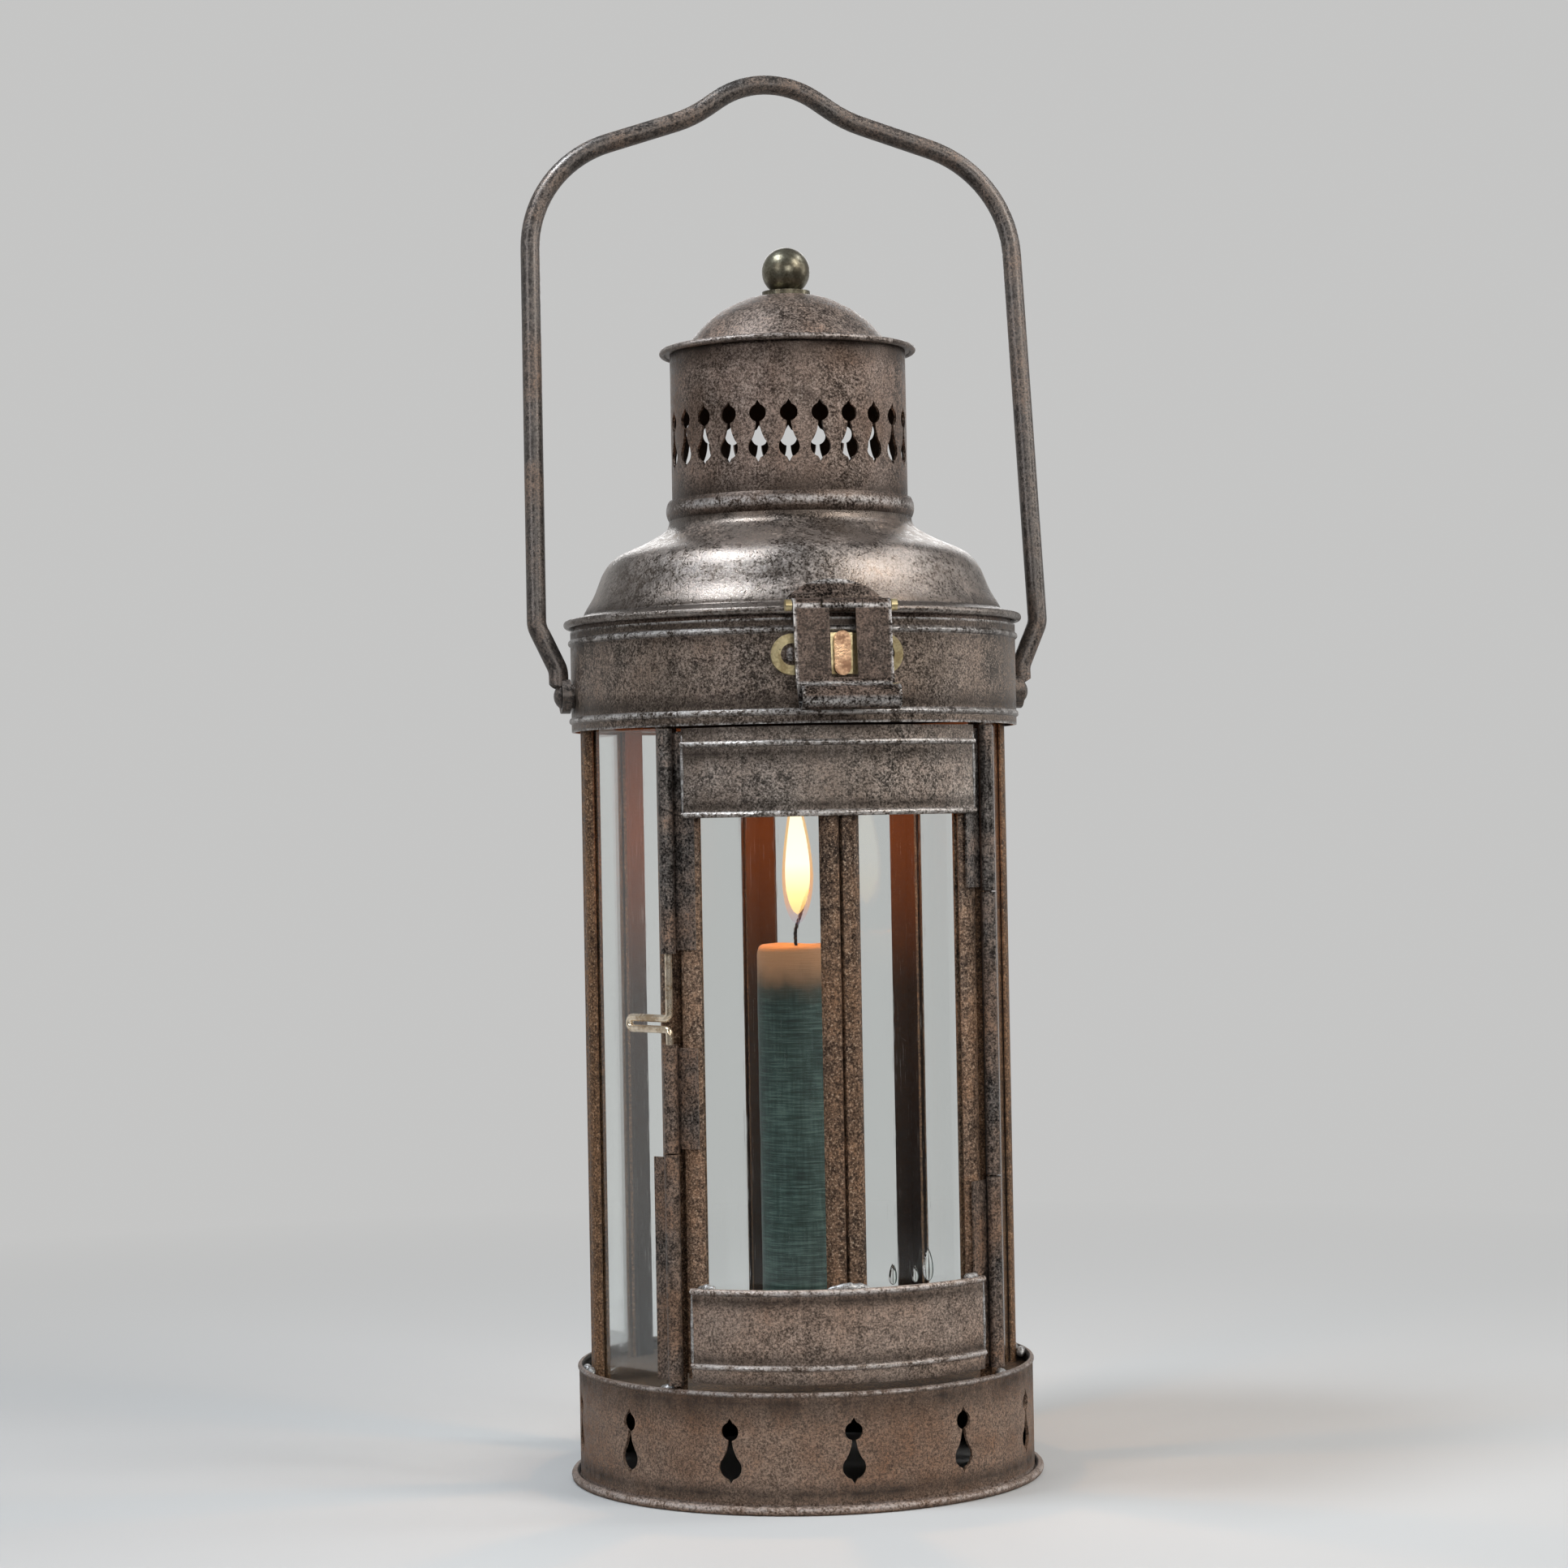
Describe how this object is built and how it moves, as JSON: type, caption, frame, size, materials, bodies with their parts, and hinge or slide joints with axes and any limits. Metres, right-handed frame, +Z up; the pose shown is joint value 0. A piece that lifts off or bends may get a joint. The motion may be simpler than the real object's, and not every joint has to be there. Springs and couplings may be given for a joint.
{
  "type": "candle lantern",
  "caption": "Round iron candle lantern with a glazed octagonal cage, hinged door with drop bolt, hinged pierced roof with turn-button hasp, and a wire bail.",
  "frame": {"origin": "centre of the round foot, on the surface it stands on", "axes": "+Z up along the lantern's axis, -Y out through the door, +X to the door's hinge side"},
  "size_m": [0.2034, 0.201, 0.5407],
  "materials": {
    "aged_iron": "aged, browned and waxed",
    "old_brass": "aged and rubbed",
    "clear_glass": "clear, faintly hazed",
    "grey_wax": "rustic dyed wax",
    "burnt_wick": "charred cotton"
  },
  "bodies": {
    "case": {"base_ring": "aged_iron", "floor_plate": "aged_iron", "candle_dish": "aged_iron", "candle_spike": "aged_iron", "post_back_left": "aged_iron", "post_left": "aged_iron", "post_right": "aged_iron", "post_back_right": "aged_iron", "post_back": "aged_iron", "latch_jamb": "aged_iron", "hinge_jamb": "aged_iron", "pane_right_front": "clear_glass", "pane_right_rear": "clear_glass", "pane_back_right": "clear_glass", "pane_back_left": "clear_glass", "pane_left_rear": "clear_glass", "pane_left_front": "clear_glass", "top_plate": "aged_iron", "collar": "aged_iron", "latch_keeper": "aged_iron", "jamb_knuckle": "aged_iron", "door_hinge_pin": "aged_iron", "bail_rivets": "aged_iron", "roof_hinge_pin": "aged_iron", "collar_hinge_leaf": "aged_iron", "staple_plate": "old_brass", "staple_rivets": "aged_iron"},
    "bail": {"bail_handle": "aged_iron"},
    "roof": {"roof_shoulder": "aged_iron", "roof_spigot": "aged_iron", "chimney": "aged_iron", "chimney_bead": "aged_iron", "cap_dome": "aged_iron", "knob": "old_brass", "hasp_leaf": "aged_iron", "hasp_pin": "old_brass", "roof_hinge_leaf": "aged_iron"},
    "hasp": {"hasp_strap": "aged_iron"},
    "latch_button": {"turn_button": "old_brass"},
    "door": {"door_top_panel": "aged_iron", "door_bottom_panel": "aged_iron", "door_stile_left": "aged_iron", "door_stile_right": "aged_iron", "door_mullion": "aged_iron", "door_pane_left": "clear_glass", "door_pane_right": "clear_glass", "bolt_tube_lower": "aged_iron", "bolt_tube_upper": "aged_iron", "door_knuckle_lower": "aged_iron", "door_knuckle_upper": "aged_iron"},
    "bolt": {"bolt_wire": "old_brass"},
    "candle_stick": {"candle": "grey_wax", "wick": "burnt_wick"}
  },
  "joints": [
    {"name": "bail_swing", "type": "hinge", "parent": "case", "child": "bail", "pos_m": [0, 0, 0.297], "axis": [1, 0, 0], "range_deg": [-143, 157]},
    {"name": "roof_open", "type": "hinge", "parent": "case", "child": "roof", "pos_m": [0, 0.09035, 0.3254], "axis": [-1, 0, 0], "range_deg": [0, 105]},
    {"name": "hasp_lift", "type": "hinge", "parent": "roof", "child": "hasp", "pos_m": [0, -0.09035, 0.3254], "axis": [-1, 0, 0], "range_deg": [-17.6, 120]},
    {"name": "latch_turn", "type": "hinge", "parent": "case", "child": "latch_button", "pos_m": [0, -0.0905, 0.3082], "axis": [0, 1, 0], "range_deg": [-90, 0]},
    {"name": "door_open", "type": "hinge", "parent": "case", "child": "door", "pos_m": [0.06001, -0.06001, 0.16], "axis": [0, 0, -1], "range_deg": [-110, 0]},
    {"name": "bolt_slide", "type": "slide", "parent": "door", "child": "bolt", "axis": [0, 0, 1], "range_m": [-0.0035, 0.02]},
    {"name": "candle_lift", "type": "slide", "parent": "case", "child": "candle_stick", "axis": [0, 0, 1], "range_m": [0, 0.1]}
  ]
}
